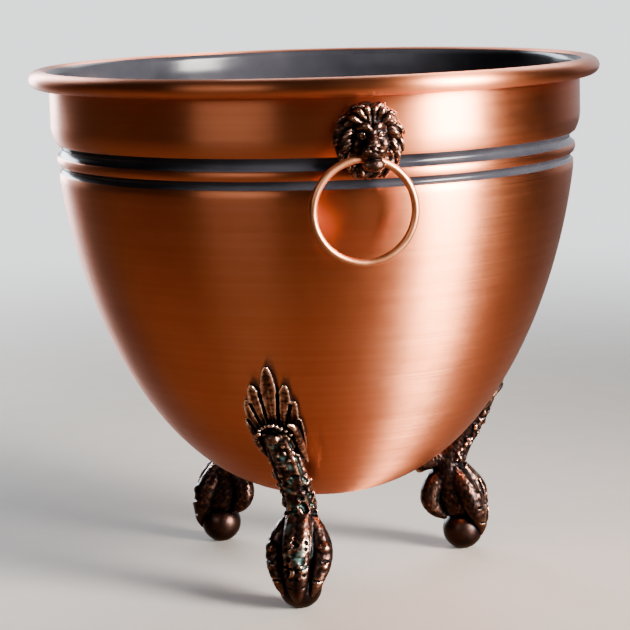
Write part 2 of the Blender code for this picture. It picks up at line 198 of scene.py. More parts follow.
def satin_copper():
    """Spun copper, brushed round the pot. The arc attribute is the distance along the outline."""
    n = Nodes("satin_copper")
    place = n.add("ShaderNodeTexCoord").outputs["Object"]
    arc = n.add("ShaderNodeAttribute", {"attribute_name": "arc"}).outputs["Fac"]
    parts = n.add("ShaderNodeSeparateXYZ", Vector=place)
    turned = n.add("ShaderNodeCombineXYZ", X=parts.outputs[0], Y=parts.outputs[1], Z=arc).outputs[0]
    fine = n.noise(n.stretched(turned, 6, 6, 2600), 1.0, 4.0, 0.7)
    coarse = n.noise(n.stretched(turned, 4, 4, 420), 1.0, 3.0, 0.6)
    cloud = n.noise(place, 14.0, 4.0)
    handled = n.noise(place, 45.0, 5.0, 0.65)
    black, white = (0, (0, 0, 0)), (1, (1, 1, 1))
    blotches = n.mix(0.35, n.ramp(cloud, black, white), n.ramp(coarse, black, white))
    tone = n.ramp(blotches, (0.25, (0.62, 0.163, 0.062)), (0.5, (0.70, 0.208, 0.086)),
                  (0.75, (0.77, 0.263, 0.118)))
    n.put(n.shader.inputs["Base Color"], tone)
    rough = n.math("ADD", n.between(fine, 0.3, 0.7, -0.05, 0.05), n.between(handled, 0.3, 0.75, 0.33, 0.40))
    n.put(n.shader.inputs["Roughness"], rough)
    n.shader.inputs["Metallic"].default_value = 1.0
    n.shader.inputs["Anisotropic"].default_value = 0.92
    n.shader.inputs["Anisotropic Rotation"].default_value = 0.25
    tangent = n.add("ShaderNodeTangent", {"direction_type": "RADIAL", "axis": "Z"})
    n.put(n.shader.inputs["Tangent"], tangent.outputs[0])
    normal = n.bump(fine, 0.00002, 0.5)
    n.put(n.shader.inputs["Normal"], n.bump(coarse, 0.00004, 0.5, normal))
    return n.material


def black_lacquer():
    n = Nodes("black_lacquer")
    place = n.add("ShaderNodeTexCoord").outputs["Object"]
    peel = n.noise(place, 260.0, 2.0)
    dust = n.noise(place, 30.0, 5.0, 0.6)
    black = n.ramp(dust, (0.3, (0.012, 0.012, 0.015)), (0.75, (0.026, 0.025, 0.030)))
    n.put(n.shader.inputs["Base Color"], black)
    n.put(n.shader.inputs["Roughness"], n.between(dust, 0.3, 0.7, 0.13, 0.24))
    n.shader.inputs["Specular IOR Level"].default_value = 0.15
    n.put(n.shader.inputs["Normal"], n.bump(peel, 0.00003, 0.35))
    return n.material


def antiqued_casting():
    """Copper plate, dark in its hollows, darker where the feet carry painted shade, bright on its edges from
    wear, and greened where green is above 0.
    """
    n = Nodes("antiqued_casting")
    place = n.add("ShaderNodeTexCoord").outputs["Object"]
    exposed = n.add("ShaderNodeAttribute", {"attribute_name": "exposed"}).outputs["Fac"]
    green = n.add("ShaderNodeAttribute", {"attribute_name": "green"}).outputs["Fac"]
    patches = n.noise(place, 110.0, 4.0, 0.6)
    grit = n.noise(place, 900.0, 3.0, 0.6)
    # On the feet, exposed also carries painted shade near the bowl's wall and on faces turned away from the
    # outside.
    wear_and_shade = n.math("ADD", exposed, n.between(patches, 0.3, 0.7, -0.10, 0.10))
    wear_and_shade = n.math("ADD", wear_and_shade, n.between(grit, 0.3, 0.7, -0.03, 0.03))
    metal = n.ramp(n.between(wear_and_shade, WEAR_AND_SHADE_LOW, WEAR_AND_SHADE_HIGH, 0.0, 1.0), (0.10, (0.004, 0.004, 0.005)),
                   (0.36, (0.017, 0.010, 0.009)), (0.54, (0.085, 0.040, 0.027)),
                   (0.72, (0.46, 0.235, 0.15)), (0.90, (0.92, 0.74, 0.64)))
    crust = n.math("MULTIPLY", green, n.between(patches, 0.42, 0.60, 0.0, 0.7), clamp=True)
    n.put(n.shader.inputs["Base Color"], n.mix(crust, metal, (0.07, 0.15, 0.13)))
    n.put(n.shader.inputs["Metallic"], n.between(crust, 0.0, 1.0, 1.0, 0.5))
    dull = n.between(wear_and_shade, WEAR_AND_SHADE_LOW, WEAR_AND_SHADE_HIGH, 0.42, 0.17)
    n.put(n.shader.inputs["Roughness"], n.math("ADD", dull, n.between(crust, 0.0, 1.0, 0.0, 0.2)))
    n.put(n.shader.inputs["Normal"], n.bump(grit, 0.00005, 0.4))
    return n.material


def copper_wire():
    """Drawn wire: faint lines along it, and soft wear. The arc attribute runs along the wire."""
    n = Nodes("copper_wire")
    place = n.add("ShaderNodeTexCoord").outputs["Object"]
    arc = n.add("ShaderNodeAttribute", {"attribute_name": "arc"}).outputs["Fac"]
    depth = n.add("ShaderNodeSeparateXYZ", Vector=place).outputs[1]
    along = n.add("ShaderNodeCombineXYZ", X=arc, Y=depth).outputs[0]
    lines = n.noise(n.stretched(along, 60, 4200, 1), 1.0, 3.0, 0.6)
    wear = n.noise(place, 120.0, 4.0)
    tone = n.ramp(wear, (0.3, (0.58, 0.215, 0.095)), (0.7, (0.68, 0.275, 0.13)))
    n.put(n.shader.inputs["Base Color"], tone)
    n.put(n.shader.inputs["Roughness"], n.math("ADD", n.between(wear, 0.3, 0.7, 0.30, 0.38),
                                               n.between(lines, 0.3, 0.7, -0.03, 0.03)))
    n.shader.inputs["Metallic"].default_value = 1.0
    n.put(n.shader.inputs["Normal"], n.bump(lines, 0.00002, 0.4))
    return n.material


def zinc_plated_steel():
    n = Nodes("zinc_plated_steel")
    place = n.add("ShaderNodeTexCoord").outputs["Object"]
    cloud = n.noise(place, 300.0, 4.0, 0.6)
    pressed = n.noise(place, 1600.0, 2.0)
    n.put(n.shader.inputs["Base Color"], n.ramp(cloud, (0.3, (0.50, 0.50, 0.47)), (0.7, (0.64, 0.65, 0.66))))
    n.put(n.shader.inputs["Roughness"], n.between(cloud, 0.3, 0.7, 0.27, 0.42))
    n.shader.inputs["Metallic"].default_value = 1.0
    n.put(n.shader.inputs["Normal"], n.bump(pressed, 0.00004, 0.4))
    return n.material


# --- the bowl ---


def body_radius(z):
    t = (BODY_TOP_Z - z) / BODY_DEPTH
    return BODY_RADIUS * (1 - t**BODY_P) ** (1 / BODY_Q)


def wall_radius(z):
    """The outer radius of the bowl at height z, from the flat up to the rim."""
    low, high = GROOVE_LOW[0], GROOVE_HIGH[1]
    if z < low:
        return body_radius(z)
    if z > high:
        rise = min(1.0, (z - high) / (COLLAR_START_Z - high))
        return COLLAR_RADIUS - (COLLAR_RADIUS - BELT_RADIUS_HIGH) * (1 - rise) ** 2
    radius = BELT_RADIUS_LOW + (BELT_RADIUS_HIGH - BELT_RADIUS_LOW) * (z - low) / (high - low)
    for start, end, height in (GROOVE_LOW, RIDGE, GROOVE_HIGH):
        if start < z < end:
            radius += height * math.sin(math.pi * (z - start) / (end - start))
    return radius


def wall_normal(z):
    """(outward, upward) parts of the wall's outer normal at height z."""
    step = 0.2 * MM
    slope = (wall_radius(z + step) - wall_radius(z - step)) / (2 * step)
    size = math.hypot(1.0, slope)
    return 1.0 / size, -slope / size


def spaced(start, end, count):
    return [start + (end - start) * i / (count - 1) for i in range(count)]


def curl(shrink, angles):
    a, b = CURL_HALF_WIDTH - shrink, CURL_HALF_HEIGHT - shrink
    return [(CURL_R + a * math.cos(math.radians(d)), CURL_Z + b * math.sin(math.radians(d))) for d in angles]


def in_groove(z):
    return GROOVE_LOW[0] < z < GROOVE_LOW[1] or GROOVE_HIGH[0] < z < GROOVE_HIGH[1]


def bowl_outline():
    """(r, z, is black) points: up the inside, over the rim and round its roll, down the outside."""
    rise = GROOVE_LOW[0] - FLAT_Z
    body = [FLAT_Z + rise * (i / BODY_STEPS) ** BODY_CROWDING for i in range(BODY_STEPS)]
    belt = []
    bands = ((GROOVE_LOW, GROOVE_LOW_STEPS), (RIDGE, RIDGE_STEPS), (GROOVE_HIGH, GROOVE_HIGH_STEPS))
    for (start, end, _), count in bands:
        belt += spaced(start, end, count)[:-1]
    collar = spaced(GROOVE_HIGH[1], COLLAR_START_Z, COLLAR_CURVE_STEPS)
    collar += spaced(COLLAR_START_Z, COLLAR_TOP_Z, COLLAR_STEPS)[1:]
    points = [(0.0, FLAT_Z + SHEET, True), (FLAT_RADIUS * 0.5, FLAT_Z + SHEET, True)]
    for z in body:
        out, up = wall_normal(max(z, WALL_START_Z))
        points.append((wall_radius(z) - SHEET * out, max(z - SHEET * up, FLAT_Z + SHEET), True))
    points += [(wall_radius(z) - SHEET, z, True) for z in belt + collar]
    for angle in spaced(180.0, CURL_END_DEG, ROLL_STEPS):
        points.append((*curl(0.0, [angle])[0], angle > LACQUER_TOP_DEG))
    points += [(r, z, False) for r, z in curl(SHEET, spaced(CURL_END_DEG, 165.0, ROLL_INSIDE_STEPS))]
    points += [(wall_radius(z), z, in_groove(z)) for z in reversed(body + belt + collar)]
    points += [(FLAT_RADIUS * 0.5, FLAT_Z, False), (0.0, FLAT_Z, False)]
    return points


def mesh_object(name, points, faces, smooth=True):
    mesh = bpy.data.meshes.new(name)
    mesh.from_pydata([tuple(p) for p in points], [], faces)
    mesh.update()
    if smooth:
        mesh.shade_smooth()
    obj = bpy.data.objects.new(name, mesh)
    bpy.context.scene.collection.objects.link(obj)
    return obj


def point_attribute(obj, name, values):
    layer = obj.data.attributes.new(name, "FLOAT", "POINT")
    layer.data.foreach_set("value", np.asarray(values, np.float32))


def make_bowl():
    outline = bowl_outline()
    inner = outline[1:-1]
    turns = np.arange(BOWL_SEGMENTS) * 2 * math.pi / BOWL_SEGMENTS
    r = np.array([p[0] for p in inner])
    z = np.array([p[1] for p in inner])
    across = r[:, None]
    grid = np.stack([across * np.sin(turns), -across * np.cos(turns), z[:, None] + 0 * turns], axis=-1)
    points = grid.reshape(-1, 3).tolist() + [(0, 0, outline[0][1]), (0, 0, outline[-1][1])]
    faces, black = [], []
    for i in range(len(inner) - 1):
        for k in range(BOWL_SEGMENTS):
            nxt = (k + 1) % BOWL_SEGMENTS
            a, b = i * BOWL_SEGMENTS, (i + 1) * BOWL_SEGMENTS
            faces.append((a + k, b + k, b + nxt, a + nxt))
            black.append(inner[i][2] and inner[i + 1][2])
    last = (len(inner) - 1) * BOWL_SEGMENTS
    for k in range(BOWL_SEGMENTS):
        nxt = (k + 1) % BOWL_SEGMENTS
        faces.append((len(points) - 2, k, nxt))
        black.append(True)
        faces.append((len(points) - 1, last + nxt, last + k))
        black.append(False)
    bowl = mesh_object("bowl_fine", points, faces)
    arc = np.concatenate([[0.0], np.cumsum(np.hypot(np.diff(r), np.diff(z)))])
    point_attribute(bowl, "arc", np.concatenate([np.repeat(arc, BOWL_SEGMENTS), [0.0, arc[-1]]]))
    bowl.data.materials.append(satin_copper())
    bowl.data.materials.append(black_lacquer())
    bowl.data.polygons.foreach_set("material_index", np.array(black, np.int32))
    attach(bowl, "pot")
    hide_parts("bowl")


# --- sculpting: a solid as distances on a grid, negative inside; lengths here are millimetres ---


class Clay:
    """Axes are u to the right, v up and w outwards."""

    def __init__(self, low, high, step):
        self.step = step
        self.axes = [np.arange(a, b + step, step) for a, b in zip(low, high)]
        self.field = np.full([len(axis) for axis in self.axes], 3.0)

    def window(self, low, high):
        """The part of the grid between two corners: (slices, open coordinate grids)."""
        spans = []
        for axis, a, b in zip(self.axes, low, high):
            first = int(np.clip(np.searchsorted(axis, a), 0, len(axis) - 1))
            spans.append(slice(first, max(first + 1, int(np.searchsorted(axis, b)))))
        axes = [axis[span] for axis, span in zip(self.axes, spans)]
        return tuple(spans), np.meshgrid(*axes, indexing="ij", sparse=True)

    def merge(self, spans, distance, blend, carve):
        old = self.field[spans]
        sign = -1.0 if carve else 1.0
        soft = np.maximum(blend - np.abs(sign * old - distance), 0.0) / blend
        self.field[spans] = sign * (np.minimum(sign * old, distance) - soft * soft * blend / 4)

    def ball(self, centre, radii, blend=0.8, carve=False):
        margin = np.array(radii) + blend + 1.0
        spans, grid = self.window(np.array(centre) - margin, np.array(centre) + margin)
        parts = [(axis - c) / radius for axis, c, radius in zip(grid, centre, radii)]
        near = np.sqrt(sum(p * p for p in parts)) + 1e-6
        steep = np.sqrt(sum((p / radius) ** 2 for p, radius in zip(parts, radii))) + 1e-6
        self.merge(spans, near * (near - 1) / steep, blend, carve)

    def strand(self, stations, blend=0.6, carve=False, curved=True):
        """A rope through (u, v, w, radius) stations."""
        path = smooth_path(stations) if curved else np.array(stations, float)
        margin = path[:, 3].max() + blend + 0.6
        spans, grid = self.window(path[:, :3].min(axis=0) - margin, path[:, :3].max(axis=0) + margin)
        best = None
        for a, b in zip(path, path[1:]):
            along = b[:3] - a[:3]
            share = sum((axis - c) * d for axis, c, d in zip(grid, a, along)) / max(along @ along, 1e-9)
            share = np.clip(share, 0.0, 1.0)
            square = sum((axis - (c + share * d)) ** 2 for axis, c, d in zip(grid, a, along))
            distance = np.sqrt(square) - (a[3] + share * (b[3] - a[3]))
            best = distance if best is None else np.minimum(best, distance)
        self.merge(spans, best, blend, carve)

    def skin(self):
        """Surface nets: one vertex in each cell that the surface crosses. Returns (points, quads)."""
        field = self.field
        for axis in range(3):
            ends = np.moveaxis(field, axis, 0)
            ends[0] = np.maximum(ends[0], 0.3)
            ends[-1] = np.maximum(ends[-1], 0.3)
        cells = np.array(field.shape) - 1
        strides = np.array([cells[1] * cells[2], cells[2], 1])
        total = np.zeros((int(np.prod(cells)), 4))
        rims = []
        for axis in range(3):
            low = np.moveaxis(field, axis, 0)[:-1]
            high = np.moveaxis(field, axis, 0)[1:]
            hits = np.argwhere((low < 0) != (high < 0))
            a = low[tuple(hits.T)]
            b = high[tuple(hits.T)]
            order = [axis] + [k for k in range(3) if k != axis]
            index = np.empty_like(hits)
            for column, k in enumerate(order):
                index[:, k] = hits[:, column]
            place = index.astype(float)
            place[:, axis] += a / (a - b)
            one, two = (axis + 1) % 3, (axis + 2) % 3
            ring = []
            for back_one, back_two in ((1, 1), (0, 1), (0, 0), (1, 0)):
                cell = index.copy()
                cell[:, one] -= back_one
                cell[:, two] -= back_two
                key = cell @ strides
                ring.append(key)
                for column in range(3):
                    total[:, column] += np.bincount(key, place[:, column], len(total))
                total[:, 3] += np.bincount(key, minlength=len(total))
            ring = np.stack(ring, axis=1)
            rims.append(np.where((a < 0)[:, None], ring, ring[:, ::-1]))
        used = np.flatnonzero(total[:, 3])
        number = np.full(len(total), -1)
        number[used] = np.arange(len(used))
        origin = np.array([axis[0] for axis in self.axes])
        points = total[used, :3] / total[used, 3:] * self.step + origin
        return points, number[np.concatenate(rims)]

    def sample(self, values, points):
        """Trilinear values at points."""
        place = (points - np.array([axis[0] for axis in self.axes])) / self.step
        base = np.clip(np.floor(place).astype(int), 0, np.array(values.shape) - 2)
        part = place - base
        result = 0.0
        for corner in np.ndindex(2, 2, 2):
            weight = np.prod(np.where(corner, part, 1 - part), axis=1)
            result = result + weight * values[tuple((base + corner).T)]
        return result

    def openness(self, points, reach):
        """How exposed each point is within reach: above 0 on edges and bumps, below 0 in hollows."""
        values = np.clip(self.field, -reach, reach)
        width = max(1, round(reach / self.step))
        for axis in range(3):
            padded = np.moveaxis(values, axis, 0)
            padded = np.concatenate([padded[:1]] * (width + 1) + [padded] + [padded[-1:]] * width)
            running = np.cumsum(padded, axis=0)
            span = 2 * width + 1
            values = np.moveaxis((running[span:] - running[:-span]) / span, 0, axis)
        return self.sample(values, points) / reach


def smooth_path(stations):
    """A Catmull-Rom curve through the stations, all their numbers alike."""
    knots = np.array(stations, float)
    padded = np.concatenate([2 * knots[:1] - knots[1:2], knots, 2 * knots[-1:] - knots[-2:-1]])
    path = []
    for before, a, b, after in zip(padded, padded[1:], padded[2:], padded[3:]):
        for u in np.arange(PATH_STEPS) / PATH_STEPS:
            bend = (2 * before - 5 * a + 4 * b - after) * u * u + (3 * a - before - 3 * b + after) * u**3
            path.append(a + 0.5 * ((b - before) * u + bend))
    return np.array(path + [knots[-1]])


def lumps(points, wavelength, seed):
    """Smooth noise of about -1 to 1 with the given wavelength."""
    rng = np.random.default_rng(seed)
    value = 0.0
    for _ in range(14):
        direction = rng.normal(size=3)
        direction *= 2 * math.pi / (wavelength * rng.uniform(0.7, 1.5) * np.linalg.norm(direction))
        value = value + np.sin(points @ direction + rng.uniform(0, 6.3))
    return value / 4.0


def vertex_normals(points, quads):
    corners = points[quads]
    facing = np.cross(corners[:, 2] - corners[:, 0], corners[:, 3] - corners[:, 1])
    normals = np.zeros_like(points)
    for column in range(3):
        for corner in range(4):
            normals[:, column] += np.bincount(quads[:, corner], facing[:, column], len(points))
    return normals / (np.linalg.norm(normals, axis=1, keepdims=True) + 1e-12)


def relaxed(points, quads, share, rounds):
    """The points pulled towards the average of their neighbours."""
    for _ in range(rounds):
        total = np.zeros_like(points)
        count = np.zeros(len(points))
        for corner in range(4):
            here, there = quads[:, corner], quads[:, (corner + 1) % 4]
            for a, b in ((here, there), (there, here)):
                count += np.bincount(a, minlength=len(points))
                for column in range(3):
                    total[:, column] += np.bincount(a, points[b, column], len(points))
        points = points + share * (total / count[:, None] - points)
    return points


def eased(start, end, value):
    """0 at start, 1 at end, and smooth between them."""
    u = np.clip((value - start) / (end - start), 0.0, 1.0)
    return u * u * (3 - 2 * u)


# --- lion masks: (u, v, w) is right, up from MASK_Z and out from the collar, in millimetres ---


def mane_lock(clay, turn, root, tip, lift, size, hook):
    """A lock of the mane: rope-like strands side by side, swept sideways to a blunt, hooked tip."""
    stations = []
    for share in (0.0, 0.35, 0.75, 1.0):
        angle = turn + hook * share * share
        reach = [a + (b - a) * share for a, b in zip(root, tip)]
        stations.append((reach[0] * math.sin(angle), reach[1] * math.cos(angle)))
    across = (math.cos(turn), -math.sin(turn))
    for offset in (-1, 0, 1):
        strand = []
        for (u, v), spread, radius, rise in zip(stations, (0.7, 1.0, 0.95, 0.6), (0.8, 1.0, 0.95, 0.75),
                                                (0.0, 0.8, 0.9, -0.2)):
            shift = offset * spread * size
            crown = 0.45 if offset == 0 else 0.0
            place = (u + across[0] * shift, v + across[1] * shift, lift + rise + crown)
            strand.append((*place, radius * size * 0.66))
        clay.strand(strand, blend=0.18)


def sculpt_mane(clay):
    rng = np.random.default_rng(11)
    clay.ball((0, 0, 0.3), (14.0, 15.2, 2.6), blend=0.4)
    for count, root, tip, lift, size in ((15, (9.5, 10.6), (14.0, 15.1), 1.9, 1.5),
                                         (13, (7.0, 8.6), (11.6, 12.9), 3.4, 1.45)):
        for i in range(count):
            turn = 2 * math.pi * (i + 0.5) / count
            side = 1.0 if math.sin(turn) > 0 else -1.0
            drop = math.cos(turn)
            if drop < -0.78 and lift > 3.0:
                continue
            low = 0.85 * eased(0.2, -0.5, drop) * (lift - 1.9) / 1.5
            mane_lock(clay, turn + rng.uniform(-0.04, 0.04), root, tip, lift - low + rng.uniform(-0.2, 0.2),
                      size * rng.uniform(0.92, 1.08), side * rng.uniform(0.2, 0.42))
    for hand in (-1, 1):
        for reach, high, size in ((1.6, 12.4, 1.25), (4.6, 11.4, 1.3), (7.0, 8.8, 1.2)):
            clay.strand([(hand * reach * 0.55, high * 0.76, 6.2, size * 0.7),
                         (hand * reach * 0.95, high, 6.6, size),
                         (hand * (reach + 1.1), high * 0.98, 4.6, size * 0.7)], blend=0.2)
    for i in range(-3, 4):
        tuft = [(i * 1.9, -9.0, 2.0, 1.2), (i * 2.1, -12.6, 2.3, 1.35), (i * 1.95, -14.7, 1.7, 0.95)]
        clay.strand(tuft, blend=0.2)


def sculpt_face(clay):
    clay.ball((0, 1.6, 2), (7.2, 9.0, 5.0), blend=0.7)
    clay.ball((0, 7.4, 4.6), (4.4, 3.4, 2.6))
    clay.ball((0, -7.8, 3.2), (4.6, 4.4, 4.0))
    clay.strand([(0, 6.0, 7.0, 1.7), (0, 2.4, 8.3, 1.8), (0, -0.8, 9.9, 2.3)])
    clay.strand([(0, -9.0, 3.5, 3.4), (0, -9.6, 7.5, 3.1)])
    clay.ball((0, -9.5, 9.2), (4.4, 3.0, 3.5), blend=0.5)
    clay.strand([(-3.5, -5.9, 8.8, 1.6), (0, -5.3, 10.4, 2.1), (3.5, -5.9, 8.8, 1.6)])
    for hand in (-1, 1):
        clay.ball((hand * 4.6, -2.0, 4.6), (2.6, 3.3, 2.2))
        brow = [(hand * 1.0, 4.4, 8.4, 1.15), (hand * 2.5, 5.7, 8.0, 1.45), (hand * 4.9, 4.9, 6.2, 0.9)]
        clay.strand(brow, blend=0.4)
        clay.ball((hand * 3.7, 2.0, 8.3), (2.0, 1.6, 1.9), blend=0.5, carve=True)
        clay.ball((hand * 3.6, 1.9, 6.3), (1.15, 0.9, 1.15), blend=0.2)
        upper = [(hand * 2.2, 1.3, 7.4, 0.35), (hand * 3.4, 2.9, 7.3, 0.45), (hand * 5.2, 2.6, 5.9, 0.35)]
        lower = [(hand * 2.2, 1.2, 7.2, 0.3), (hand * 3.6, 0.7, 6.9, 0.4), (hand * 5.1, 1.9, 5.9, 0.3)]
        for lid in (upper, lower):
            clay.strand(lid, blend=0.2)
        clay.ball((hand * 1.95, -4.0, 9.6), (2.6, 2.1, 3.0), blend=0.4)
    clay.ball((0, -1.9, 11.0), (2.7, 1.35, 1.6), blend=0.4)
    clay.ball((0, -3.2, 11.6), (1.2, 1.2, 1.2), blend=0.4)
    for hand in (-1, 1):
        clay.ball((hand * 1.5, -2.75, 12.3), (0.75, 0.42, 0.8), blend=0.2, carve=True)
        lip = [(hand * 0.3, -6.2, 12.9, 0.3), (hand * 2.6, -6.7, 11.9, 0.45), (hand * 4.8, -6.2, 9.6, 0.5)]
        clay.strand(lip, blend=0.2, carve=True)
    clay.strand([(0, -3.9, 12.7, 0.22), (0, -5.6, 12.7, 0.3)], blend=0.2, carve=True)
    clay.strand([(0, 10.6, 6.8, 0.4), (0, 7.2, 7.8, 0.55), (0, 5.2, 9.1, 0.35)], blend=0.4, carve=True)


def mask_mesh():
    clay = Clay((-16.8, -17.4, -0.4), (16.8, 17.4, 13.6), MASK_GRID)
    sculpt_mane(clay)
    sculpt_face(clay)
    hole_v, hole_w = (HINGE_Z - MASK_Z) / MM, (HINGE_R - COLLAR_RADIUS) / MM
    hole = [(-7, hole_v, hole_w, 3.7), (-4.4, hole_v, hole_w, 3.05), (0, hole_v, hole_w, 2.3),
            (4.4, hole_v, hole_w, 3.05), (7, hole_v, hole_w, 3.7)]
    clay.strand(hole, blend=0.3, carve=True, curved=False)
    back = GAP / MM - clay.axes[2]
    clay.field = np.maximum(clay.field, back[None, None, :])
    points, quads = clay.skin()
    points = relaxed(points, quads, 0.35, 1)
    normals = vertex_normals(points, quads)
    rough = 0.035 * lumps(points, 1.3, 3) + 0.018 * lumps(points, 0.6, 4)
    free = eased(0.5, 1.4, points[:, 2])
    points = points + normals * (rough * free)[:, None]
    exposed = 0.9 * clay.openness(points, 0.6) + 0.7 * clay.openness(points, 1.7)
    turn = points[:, 0] * MM / COLLAR_RADIUS
    r = COLLAR_RADIUS + points[:, 2] * MM
    place = np.stack([r * np.sin(turn), -r * np.cos(turn), MASK_Z + points[:, 1] * MM], axis=1)
    return place, quads, exposed, 0 * exposed


# --- feet: (u, v, w) is right, up from the floor and out from the pot's axis, in millimetres ---


def swing(z):
    return LEAF_SWING * eased(45 * MM, 90 * MM, z)


def wall_fields(clay):
    """The distance from the bowl's wall at each point of the grid, positive outside."""
    u, v, w = np.meshgrid(*clay.axes, indexing="ij", sparse=True)
    heights = clay.axes[1]
    radii, outs = [], []
    for z in heights:
        above = max(z * MM, WALL_START_Z)
        radii.append(wall_radius(above) / MM if z * MM > FLAT_Z else 0.0)
        outs.append(wall_normal(above)[0])
    shift = (swing(heights * MM) / MM)[None, :, None]
    rho = np.sqrt(w * w + (u + shift) ** 2)
    distance = (rho - np.array(radii)[None, :, None]) * np.array(outs)[None, :, None]
    under = np.where(v * MM < FLAT_Z, 9.0, distance)
    return under, u, v


def petal(u, v, root, tip, width, high, point):
    """The height above the wall of one leaf blade: scooped, with a raised lip and tip."""
    root, tip = np.array(root, float), np.array(tip, float)
    along = tip - root
    length = math.hypot(*along)
    along /= length
    t = ((u - root[0]) * along[0] + (v - root[1]) * along[1]) / length
    q = (u - root[0]) * -along[1] + (v - root[1]) * along[0]
    inside = np.clip(t, 0.0, 1.0)
    taper = np.clip((inside - 0.6) / 0.4, 0.0, 1.0)
    end = np.sqrt(np.clip(1 - taper**point, 0.0, 1.0))
    half = width * (0.50 + 0.50 * eased(0.0, 0.6, inside)) * end + 1e-3
    edge = np.abs(q) / half
    drop = np.sqrt(np.clip(1 - edge**6, 0.0, 1.0))
    scoop = 0.66 + 0.34 * np.clip(edge, 0, 1) ** 2.2 + 0.16 * np.exp(-((q / 0.5) ** 2)) * (1 - inside)
    height = high * drop * scoop * (0.84 + 0.30 * inside**2)
    return np.where((edge < 1) & (t > -0.05) & (t < 1), height, -2.0)


def seam(u, v, hand, start, end):
    """The distance from the dark gap between two blades, which runs from start to end."""
    run_u, run_v = end[0] - start[0], end[1] - start[1]
    side_u, side_v = hand * u - start[0], v - start[1]
    along = np.clip((side_u * run_u + side_v * run_v) / (run_u**2 + run_v**2), 0.0, 1.0)
    return np.hypot(side_u - along * run_u, side_v - along * run_v)


def sculpt_leaf(clay, wall, u, v):
    leaf = petal(u, v, (0.0, 76), (0.3, 112.6), 3.9, 3.7, 2.2)
    blades = ((3.3, 75, 7.4, 104.0, 3.3, 3.5), (5.8, 71, 10.4, 96.5, 2.9, 3.1),
              (7.0, 66, 11.6, 87.5, 2.5, 2.7))
    gaps = (((1.5, 79), (4.0, 99.5)), ((3.9, 77), (8.6, 94)), ((6.0, 73), (11.0, 86)))
    for hand in (-1, 1):
        for root_u, root_v, tip_u, tip_v, width, high in blades:
            blade = petal(u, v, (hand * root_u, root_v), (hand * tip_u, tip_v), width, high, 2.6)
            leaf = np.maximum(leaf, blade)
        for start, end in gaps:
            leaf = leaf - 1.9 * np.exp(-((seam(u, v, hand, start, end) / 0.62) ** 2))
    distance = (wall - leaf) * 0.8
    spans = (slice(None), slice(None), slice(None))
    clay.merge(spans, np.where(leaf > -1.9, distance, 9.0), 0.35, False)


def over_wall(u, z, lift):
    """A point lift millimetres off the bowl's wall."""
    r = wall_radius(z * MM) / MM + lift / wall_normal(z * MM)[0]
    return u, z, math.sqrt(r * r - (u + float(swing(z * MM)) / MM) ** 2)


def on_leg(turn_deg, z, lift=0.0):
    """A point on the leg's front, lift millimetres off it."""
    centre_w = np.interp(z, (30, 35, 41, 47, 54, 62, 70, 78), (64, 62.5, 60.4, 62.3, 66.5, 70.8, 74.3, 77.6))
    radius = np.interp(z, (30, 41, 47, 62, 78), (8.4, 6.7, 6.7, 7.2, 5.6)) + lift
    turn = math.radians(turn_deg)
    return radius * math.sin(turn), z, centre_w + radius * math.cos(turn)


def sculpt_leg(clay):
    rng = np.random.default_rng(5)
    widths = ((80, 4.2), (74, 5.6), (68, 6.6), (62, 6.9), (54, 6.7), (47, 6.6), (41, 6.6), (35, 7.8),
              (28, 8.6))
    leg = [(*on_leg(0, z, -r), r) for z, r in widths]
    clay.strand(leg, blend=1.0)
    for turn, high in ((-64, 47), (-30, 52), (32, 50), (64, 46)):
        heights = (78, 70, 60, high, 40, 33)
        ridge = [(*on_leg(turn * (1 + 0.12 * math.sin(z)), z, -0.3), 1.4) for z in heights]
        clay.strand(ridge, blend=0.7)
    for _ in range(96):
        turn, z, size = rng.uniform(-80, 80), rng.uniform(36, 80), rng.uniform(0.8, 1.6)
        stretch = rng.uniform(0.7, 1.8)
        clay.ball(on_leg(turn, z, 0.15), (size * stretch, size / stretch * 1.2, size * 0.9), blend=0.35)
    for _ in range(70):
        turn, z, size = rng.uniform(-75, 75), rng.uniform(34, 79), rng.uniform(0.6, 1.3)
        pit = (size * rng.uniform(0.8, 1.6), size, size * 1.3)
        clay.ball(on_leg(turn, z, 1.1), pit, blend=0.8, carve=True)
    clay.ball(over_wall(-1.6, 78.5, 6.0), (3.1, 2.4, 2.0), blend=0.4)
    for share in np.linspace(-1, 1, 9):
        z = 84.6 - 3.4 * share * share - 0.8 * share
        clay.ball(over_wall(share * 6.6, z, 4.0), (1.0, 0.95, 1.2), blend=0.15)
    for hand, high in ((1, 85.0), (-1, 80.0)):
        clay.strand([(*over_wall(hand * 5.6, 66, 3.2), 1.3), (*over_wall(hand * 8.3, 71, 3.4), 1.7),
                     (*over_wall(hand * 9.3, high - 5, 3.4), 1.7),
                     (*over_wall(hand * 8.9, high - 1, 4.2), 1.5),
                     (*over_wall(hand * 7.4, high + 0.2, 4.8), 1.1)], blend=0.4)


